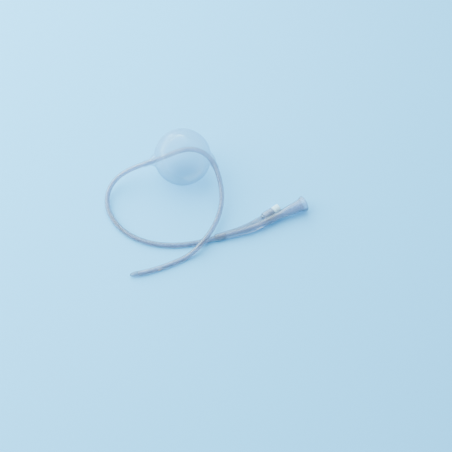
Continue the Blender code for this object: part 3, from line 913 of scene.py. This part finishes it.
@dataclass
class Balloon(Piece):
    """The filled balloon, with a tapered neck and a cuff round the shaft at either end."""

    route: Route = field(default_factory=Route)
    centre: Triple = (-1.39 * MM, 28.46 * MM, 22.6 * MM)
    radius: float = 22.6 * MM
    wall: float = 0.45 * MM
    bore: float = 2.05 * MM
    cuff_wall: float = 0.6 * MM
    cuff_length: float = 5.0 * MM
    stand_off: float = 3.4 * MM
    shoulder: float = 5.5 * MM
    ball_rings: int = 56
    neck_rings: int = 10

    def neck_ring(self, along: float, radius: float) -> Ring:
        """A ring round the shaft."""
        return self.route.at(along), self.route.direction(along), radius

    def skin(self, wall: float, cuff_radius: float) -> list[Ring]:
        """The rings of one skin, from the outer end of one cuff to that of the other.

        Args:
            wall: How far the skin lies inside the balloon's outside.
            cuff_radius: Its radius along the cuffs.

        Returns:
            Centre, heading and radius of each ring.
        """
        middle = Vector(self.centre)
        radius = self.radius - wall
        first, last = self.route.crossings(middle, self.radius)
        start = (middle - self.route.at(first)).normalized()
        finish = (self.route.at(last) - middle).normalized()
        edge = math.asin((self.shoulder - wall) / radius) / math.pi
        ball = []
        for share in np.linspace(edge, 1.0 - edge, self.ball_rings):
            heading = start.slerp(finish, float(share))
            angle = math.pi * float(share)
            ball.append((middle - heading * radius * math.cos(angle), heading, radius * math.sin(angle)))
        steps = [self.stand_off + self.cuff_length * share for share in (0.0, 0.25, 0.5, 0.75, 1.0)]
        entry = [self.neck_ring(first - step, cuff_radius) for step in reversed(steps)]
        leave = [self.neck_ring(last + step, cuff_radius) for step in steps]
        return entry + self.neck(entry[-1], ball[0]) + ball + self.neck(ball[-1], leave[0]) + leave

    def neck(self, one: tuple, two: tuple) -> list[Ring]:
        """Rings that run smoothly from one ring to another."""
        rings = []
        for i in range(1, self.neck_rings + 1):
            share = i / (self.neck_rings + 1)
            share = share * share * (3 - 2 * share)
            heading = one[1].lerp(two[1], share).normalized()
            rings.append((one[0].lerp(two[0], share), heading, one[2] + (two[2] - one[2]) * share))
        return rings

    def build(self) -> Object:
        """Builds the balloon's outer and inner skins as one closed wall."""
        outer = carried_stations(*map(list, zip(*self.skin(0.0, self.bore + self.cuff_wall))))
        inner = carried_stations(*map(list, zip(*self.skin(self.wall, self.bore))))
        bm = bmesh.new()
        sweep(bm, circle(bm, outer[0], 1.0, 72), outer + inner[::-1] + outer[:1])
        bmesh.ops.remove_doubles(bm, verts=bm.verts, dist=0.005 * MM)
        return self.dress(finished("filled_balloon", bm), Slot.SKIN, "balloon")


@dataclass
class Connector(Piece):
    """The moulded Y in one piece: stem, drainage funnel and inflation arm, bent a little at the fork.

    Every length is measured along its own straight axis from the nose. The bend comes last.
    """

    nose: Triple = (-2.59 * MM, -40.54 * MM, 2.84 * MM)
    heading: float = math.radians(-6.2)
    pitch: float = math.radians(2.704)
    roll: float = math.radians(-13.595)
    bend_start: float = 24.0 * MM
    bend_length: float = 17.0 * MM
    bend_angle: float = math.radians(12.0)
    length: float = 77.0 * MM
    nose_radius: float = 2.9 * MM
    stem_radius: float = 3.3 * MM
    outlet_radius: float = 2.9 * MM
    flare_start: float = 58.0 * MM
    flare_radius: float = 3.6 * MM
    bell_start: float = 72.0 * MM
    bell_radius: float = 4.7 * MM
    mouth_radius: float = 6.0 * MM
    bead_radius: float = 6.4 * MM
    bead_width: float = 1.6 * MM
    socket_radius: float = 2.1 * MM
    socket_depth: float = 8.6 * MM
    drain_radius: float = 1.6 * MM
    funnel_bore: float = 3.6 * MM
    mouth_bore: float = 4.9 * MM
    fork_root: float = 10.0 * MM
    fork: float = 38.0 * MM
    arm_angle: float = math.radians(7.5)
    arm_offset_at_fork: float = 5.2 * MM
    arm_end: float = 52.0 * MM
    arm_radius: float = 2.1 * MM
    arm_root_radius: float = 1.3 * MM
    cup_radius: float = 3.4 * MM
    pocket_radius: float = 2.5 * MM
    pocket_depth: float = 8.6 * MM
    web_share: float = 0.93
    web_steps: int = 12
    web_segments: int = 48
    web_end: tuple[tuple[float, float], ...] = ((1.1 * MM, 0.87), (1.9 * MM, 0.5))
    grain: float = 0.23 * MM
    relax: int = 6

    def place(self) -> Matrix:
        """The connector's own frame: X along the stem towards the funnel, origin at the nose."""
        turn = Matrix.Rotation(self.heading, 4, "Z") @ Matrix.Rotation(-self.pitch, 4, "Y")
        return Matrix.Translation(self.nose) @ turn

    def bent(self, point: Vector) -> Vector:
        """Where the bend takes a point of the straight connector."""
        radius = self.bend_length / self.bend_angle
        inside = min(max(point.x - self.bend_start, 0.0), self.bend_length)
        turn = inside / radius
        rest = point.x - self.bend_start - inside
        ahead = self.bend_start + (radius - point.y) * math.sin(turn) + rest * math.cos(turn)
        aside = radius - (radius - point.y) * math.cos(turn) + rest * math.sin(turn)
        return Vector((ahead, aside, point.z))

    def arm_offset(self, along: float) -> float:
        """How far the inflation arm's axis lies beside the stem's."""
        return self.arm_offset_at_fork + (along - self.fork) * math.tan(self.arm_angle)

    def arm_place(self, start: float = 0.0) -> Matrix:
        """The arm's frame before the bend: X out of its cup, origin at the cup's rim.

        Args:
            start: The place along the stem that counts as zero.

        Returns:
            The arm's frame, rolled until the arm lies on the table.
        """
        rim = Matrix.Translation((self.arm_end - start, self.arm_offset(self.arm_end), 0.0))
        return Matrix.Rotation(self.roll, 4, "X") @ rim @ Matrix.Rotation(self.arm_angle, 4, "Z")

    def valve_place(self, proud: float) -> Matrix:
        """The valve's frame: X out of its socket, origin at its mouth.

        Args:
            proud: How far the mouth stands out of the cup.

        Returns:
            The frame, carried round by the bend.
        """
        bend_end = self.bend_start + self.bend_length
        turned = Matrix.Translation(self.bent(Vector((bend_end, 0.0, 0.0)))) @ Matrix.Rotation(self.bend_angle, 4, "Z")
        return self.place() @ turned @ self.arm_place(bend_end) @ Matrix.Translation((proud, 0.0, 0.0))

    def stem_profile(self) -> Profile:
        """Outer outline of the drainage line, from nose to mouth."""
        bead = self.length - self.bead_width
        shoulder = self.bead_radius - 0.1 * MM
        return [
            (0.0, 0.0),
            (0.0, self.nose_radius - 0.4 * MM),
            (0.4 * MM, self.nose_radius - 0.1 * MM),
            (1.2 * MM, self.nose_radius),
            (20.0 * MM, self.stem_radius),
            (30.0 * MM, self.stem_radius),
            (self.fork, self.outlet_radius),
            (self.flare_start - 3.0 * MM, self.outlet_radius),
            (self.flare_start - 1.0 * MM, self.outlet_radius + 0.2 * MM),
            (self.flare_start, self.flare_radius),
            (self.bell_start, self.bell_radius),
            ((self.bell_start + bead) / 2, (3 * self.bell_radius + 2 * self.mouth_radius) / 5),
            (bead, self.mouth_radius),
            (bead + self.bead_width / 4, shoulder),
            (bead + self.bead_width / 2, self.bead_radius),
            (self.length - self.bead_width / 4, shoulder),
            (self.length, self.mouth_radius),
            (self.length, 0.0),
        ]

    def drain_profile(self) -> Profile:
        """Socket for the shaft, drainage lumen and funnel bore."""
        past = 1.0 * MM
        entry = 1.0 * MM
        return [
            (-past, 0.0),
            (-past, self.socket_radius),
            (self.socket_depth, self.socket_radius),
            (self.socket_depth, entry),
            (self.socket_depth + 4.4 * MM, entry),
            (self.fork, self.drain_radius),
            (self.flare_start - 3.0 * MM, self.drain_radius),
            ((self.flare_start + self.bell_start) / 2, (self.drain_radius + 2 * self.funnel_bore) / 3),
            (self.bell_start, self.funnel_bore),
            (self.length, self.mouth_bore),
            (self.length + past, self.mouth_bore),
            (self.length + past, 0.0),
        ]

    def arm_profile(self) -> Profile:
        """Outer outline of the inflation arm, measured back from its end, with the cup for the valve."""
        cup_start = -self.pocket_depth - 0.2 * MM
        root = -(self.arm_end - self.fork_root)
        return [
            (root, 0.0),
            (root, self.arm_root_radius - 0.3 * MM),
            (-(self.arm_end - self.fork), self.arm_radius - 0.2 * MM),
            (cup_start - 1.4 * MM, self.arm_radius),
            (cup_start, self.cup_radius - 0.1 * MM),
            (cup_start + 1.2 * MM, self.cup_radius),
            (-0.4 * MM, self.cup_radius),
            (0.0, self.cup_radius - 0.4 * MM),
            (0.0, 0.0),
        ]

    def pocket_profile(self) -> Profile:
        """The valve's pocket and the inflation lumen behind it."""
        lumen = 0.4 * MM
        root = -(self.arm_end - self.socket_depth - 6.0 * MM)
        return [
            (root, 0.0),
            (root, lumen),
            (-self.pocket_depth, lumen),
            (-self.pocket_depth, self.pocket_radius),
            (1.0 * MM, self.pocket_radius),
            (1.0 * MM, 0.0),
        ]

    def outer_radius(self, along: float) -> float:
        """The drainage line's outer radius at a place along it."""
        places, radii = zip(*self.stem_profile()[1:-1])
        return float(np.interp(along, places, radii))

    def web_ring(self, ring: list[BMVert], along: float, fullness: float) -> None:
        """Moves a ring of vertices to one section of the web: a round side on each line's axis.

        Args:
            ring: The vertices, in order round the section.
            along: Where the section is.
            fullness: How much of the full section it has.
        """
        share = min(1.0, (along - self.fork_root) / (self.fork - self.fork_root))
        arm = (self.arm_root_radius + (self.arm_radius - self.arm_root_radius) * share) * fullness
        stem = self.web_share * self.outer_radius(along) * fullness
        for number, vert in enumerate(ring):
            angle = math.tau * (number + 0.5) / len(ring)
            near = math.cos(angle) > 0
            radius = arm if near else stem
            side = self.arm_offset(along) if near else 0.0
            vert.co = (along, side + radius * math.cos(angle), radius * math.sin(angle))

    def web(self) -> Object:
        """The web that carries the arm off the stem and rounds off between the two arms."""
        run = self.fork - self.fork_root
        stops = [(self.fork_root + run * i / self.web_steps, 1.0) for i in range(self.web_steps + 1)]
        stops += [(self.fork + past, fullness) for past, fullness in self.web_end]
        bm = bmesh.new()
        ring = bmesh.ops.create_circle(bm, cap_ends=True, segments=self.web_segments, radius=MM)["verts"]
        self.web_ring(ring, *stops[0])
        face = bm.faces[:]
        for number, stop in enumerate(stops[1:]):
            made = bmesh.ops.extrude_face_region(bm, geom=face)["geom"]
            if number > 0:  # The first face closes the web's end. The later ones would stay inside it.
                bmesh.ops.delete(bm, geom=face, context="FACES_ONLY")
            following = set(only(made, BMVert))
            ring = [next(e.other_vert(v) for e in v.link_edges if e.other_vert(v) in following) for v in ring]
            face = only(made, BMFace)
            self.web_ring(ring, *stop)
        return finished("web", bm, Matrix.Rotation(self.roll, 4, "X"))

    def build(self) -> Object:
        """Moulds the Y in one piece, bores its lumens and bends it."""
        y_piece = finished("y_connector", lathe(self.stem_profile()))
        cut(y_piece, self.web(), "UNION")
        cut(y_piece, finished("arm", lathe(self.arm_profile()), self.arm_place()), "UNION")
        cut(y_piece, finished("drain", lathe(self.drain_profile())))
        cut(y_piece, finished("pocket", lathe(self.pocket_profile()), self.arm_place()))
        moulded(y_piece, self.grain, self.relax)
        for vert in y_piece.data.vertices:
            vert.co = self.bent(vert.co)
        y_piece.data.transform(self.place())
        return self.dress(y_piece, Slot.SILICONE, "y_funnel")


@dataclass
class Valve(Piece):
    """The inflation valve. All its parts turn about X, and x is 0 at the mouth of its tapered socket."""

    place: Matrix = field(default_factory=Matrix)
    radius: float = 3.3 * MM
    proud: float = 5.5 * MM
    seat_gap: float = 0.3 * MM
    insert_radius: float = 2.4 * MM
    length: float = 14.0 * MM
    neck_length: float = 1.4 * MM
    neck_step: float = 0.2 * MM
    groove_depth: float = 0.15 * MM
    barb_height: float = 0.1 * MM
    luer_radius: float = 2.14 * MM
    luer_taper: float = 0.06 / 2
    luer_depth: float = 7.5 * MM
    seat_thickness: float = 0.8 * MM
    seat_hole: float = 1.25 * MM
    chamber_radius: float = 2.0 * MM
    seal_thickness: float = 0.6 * MM
    flange_thickness: float = 0.5 * MM
    retainer_thickness: float = 0.7 * MM
    play: float = 0.05 * MM
    travel: float = 1.2 * MM
    reach: float = 4.3 * MM
    vane_half: float = 0.95 * MM
    vane_thickness: float = 0.6 * MM
    wire_radius: float = 0.15 * MM
    spring_radius: float = 1.15 * MM
    spring_turns: float = 3.5
    ground_turns: float = 0.75
    steps_a_turn: int = 28

    def seat_face(self) -> float:
        """Where the seat ends and the chamber begins."""
        return -(self.luer_depth + self.seat_thickness)

    def flange_front(self) -> float:
        """The plunger's face that carries the seal."""
        return self.seat_face() - self.play - self.seal_thickness - self.play

    def retainer_face(self) -> float:
        """The retainer's face that the spring stands on."""
        return -(self.length - self.retainer_thickness)

    def housing(self) -> Object:
        """The housing, with grip rings round its end and barbs where the cup holds it."""
        outer = [(0.0, self.luer_radius), (0.0, self.radius)]
        groove = self.radius - self.groove_depth
        for ring in range(3):
            start = -(1.0 + 0.9 * ring) * MM
            outer += [
                (start, self.radius),
                (start - 0.1 * MM, groove),
                (start - 0.3 * MM, groove),
                (start - 0.4 * MM, self.radius),
            ]
        outer += [
            (self.neck_length + self.neck_step - self.proud, self.radius),
            (self.neck_length - self.proud, self.radius - self.neck_step),
            (-self.proud, self.radius - self.neck_step),
            (-self.proud, self.insert_radius),
        ]
        for place in (2.0 * MM, 5.0 * MM):
            outer += [
                (-self.proud - place, self.insert_radius),
                (-self.proud - place, self.insert_radius + self.barb_height),
                (-self.proud - place - MM, self.insert_radius),
            ]
        outer.append((-self.length, self.insert_radius))
        inner = [
            (-self.length, self.chamber_radius),
            (self.seat_face(), self.chamber_radius),
            (self.seat_face(), self.seat_hole),
            (-self.luer_depth, self.seat_hole),
            (-self.luer_depth, self.luer_radius - self.luer_taper * self.luer_depth),
        ]
        bm = lathe(outer + inner, segments=72)
        soften(bm, 0.06 * MM)
        return self.dress(finished("valve_body", bm, self.place), Slot.PLASTIC, "valve_housing")

    def seal(self) -> Object:
        """The rubber washer that the plunger pulls against the seat, with a raised lip on its front."""
        front = self.seat_face() - self.play
        back = front - self.seal_thickness
        inner = self.vane_half + 0.1 * MM
        outer = self.chamber_radius - 0.15 * MM
        lip = self.seat_hole + 0.2 * MM
        profile = [
            (front - 0.1 * MM, inner),
            (front - 0.1 * MM, lip),
            (front, lip + 0.1 * MM),
            (front, lip + 0.2 * MM),
            (front - 0.1 * MM, lip + 0.3 * MM),
            (front - 0.15 * MM, outer),
            (back, outer),
            (back, inner),
        ]
        bm = lathe(profile, segments=56)
        soften(bm, 0.03 * MM)
        return self.dress(finished("seal_washer", bm, self.place), Slot.RUBBER, "valve_seal", Body.PLUNGER)

    def vane(self, turn: float) -> Object:
        """One blade of the plunger's cross, with a pointed end that a syringe tip meets.

        Args:
            turn: The blade's turn about the plunger's axis.

        Returns:
            The blade.
        """
        back = self.flange_front() - self.flange_thickness / 2
        middle = (back - self.reach) / 2
        size = Matrix.Diagonal((-self.reach - back, 2 * self.vane_half, self.vane_thickness, 1.0))
        bm = bmesh.new()
        bmesh.ops.create_cube(bm, size=1.0, matrix=Matrix.Translation((middle, 0.0, 0.0)) @ size)
        corners = [e for e in bm.edges if all(v.co.x > middle for v in e.verts) and e.verts[0].co.y == e.verts[1].co.y]
        bmesh.ops.bevel(bm, geom=corners, offset=0.4 * MM, segments=4, profile=0.5, affect="EDGES", material=-1)
        soften(bm, 0.06 * MM)
        return finished("vane", bm, Matrix.Rotation(turn, 4, "X"))

    def plunger(self) -> Object:
        """The plunger: a cross-shaped rod, a flange behind the seal and a pin that stops its travel."""
        flange_back = self.flange_front() - self.flange_thickness
        pin_end = self.retainer_face() + self.travel + self.play
        core = 0.4 * MM
        flange = self.chamber_radius - 0.3 * MM
        pin = 0.5 * MM
        profile = [
            (-self.reach - 0.5 * MM, 0.0),
            (-self.reach - 0.5 * MM, core),
            (self.flange_front(), core),
            (self.flange_front(), flange),
            (flange_back, flange),
            (flange_back, pin),
            (pin_end, pin),
            (pin_end, 0.0),
        ]
        bm = lathe(profile, segments=48)
        soften(bm, 0.06 * MM)
        piece = finished("plunger", bm)
        for turn in (0.0, math.pi / 2):
            cut(piece, self.vane(turn), "UNION")
        piece.data.transform(self.place)
        return self.dress(piece, Slot.PLASTIC, "valve_plunger", Body.PLUNGER)

    def retainer(self) -> Object:
        """The disc that closes the chamber, with a middle hole and six small ones for the water."""
        outer = self.chamber_radius - 0.02 * MM
        middle = 0.3 * MM
        small = 0.18 * MM
        aside = Matrix.Translation((0.0, 0.8 * MM, 0.0))
        front, back = self.retainer_face(), -self.length
        bm = lathe([(front, middle), (front, outer), (back, outer), (back, middle)])
        soften(bm, 0.05 * MM)
        disc = finished("retainer_disc", bm)
        for number in range(6):
            hole = lathe([(back - MM, 0.0), (back - MM, small), (front + MM, small), (front + MM, 0.0)], segments=16)
            cut(disc, finished("hole", hole, Matrix.Rotation(math.tau * number / 6, 4, "X") @ aside))
        disc.data.transform(self.place)
        return self.dress(disc, Slot.PLASTIC, "valve_retainer")

    def spring(self) -> Object:
        """The coil spring, with closed ends."""
        front = self.flange_front() - self.flange_thickness - self.wire_radius - 0.02 * MM
        back = self.retainer_face() + self.wire_radius + 0.02 * MM
        total = self.spring_turns + 2 * self.ground_turns
        count = round(total * self.steps_a_turn)
        pitch = 2 * self.wire_radius + 0.01 * MM
        closed = self.ground_turns * pitch
        turns_at = (0.0, self.ground_turns, total - self.ground_turns, total)
        drops = (0.0, closed, front - back - closed, front - back)
        centres = []
        for i in range(count + 1):
            turns = total * i / count
            along = float(front - np.interp(turns, turns_at, drops))
            angle = math.tau * turns
            centres.append(Vector((along, self.spring_radius * math.cos(angle), self.spring_radius * math.sin(angle))))
        steps = zip([centres[0]] + centres[:-1], centres[1:] + [centres[-1]])
        headings = [after - before for before, after in steps]
        stations = [station(c, h, AHEAD, self.wire_radius) for c, h in zip(centres, headings)]
        bm = bmesh.new()
        loop = circle(bm, stations[0], 1.0, 12)
        cap(bm, loop)
        cap(bm, sweep(bm, loop, stations))
        piece = self.dress(finished("coil_spring", bm, self.place), Slot.STEEL, "valve_spring", None)
        still = self.place @ Vector((back, 0.0, 0.0))
        moving = self.place @ Vector((front, 0.0, 0.0))
        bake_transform(piece)
        return piece

    def build(self) -> list[Object]:
        """Builds the five parts."""
        return [self.housing(), self.seal(), self.plunger(), self.retainer(), self.spring()]


def main() -> None:
    """Builds the catheter piece by piece and reports each."""
    logging.basicConfig(level=logging.INFO, format="%(name)s %(message)s")
    Studio().build()
    silicone = Silicone(
        "shaft_silicone", (0.84, 0.76, 0.84), (0.76, 0.68, 0.77), 0.2, 0.92, body=(0.66, 0.56, 0.60), density=290.0
    )
    moulded_silicone = Silicone(
        "moulded_silicone", (0.78, 0.76, 0.88), (0.70, 0.68, 0.81), 0.2, 0.88, body=(0.64, 0.58, 0.62), density=240.0
    )
    skin = Skin(
        "balloon_skin",
        high=(0.55, 0.74, 1.0),
        # The low colour is painted shade where the balloon rests on the table.
        shaded_low=(0.08, 0.25, 0.39),
        height=32.0 * MM,
        alpha=0.17,
        rim=0.8,
        transmission=0.5,
        body=(0.55, 0.62, 0.72),
        density=160.0,
    )
    plastic = Plastic("valve_plastic", (0.68, 0.88, 1.0), (0.62, 0.82, 0.97), 0.5)
    rubber = Plastic("washer_rubber", (0.05, 0.05, 0.06), (0.08, 0.08, 0.09), 0.6)
    steel = Wire("spring_wire", (0.62, 0.63, 0.64), (0.45, 0.46, 0.48))
    finishes = {
        Slot.SILICONE: silicone.material(),
        Slot.SKIN: skin.material(),
        Slot.PLASTIC: plastic.material(),
        Slot.RUBBER: rubber.material(),
        Slot.STEEL: steel.material(),
    }
    route = Route()
    tip = Tip(finishes, route).build()
    Shaft(finishes, route).build(tip)
    Balloon(finishes, route).build()
    connector = Connector({**finishes, Slot.SILICONE: moulded_silicone.material()})
    connector.build()
    Valve(finishes, connector.valve_place(Valve.proud + Valve.seat_gap)).build()


if __name__ == "__main__":
    main()
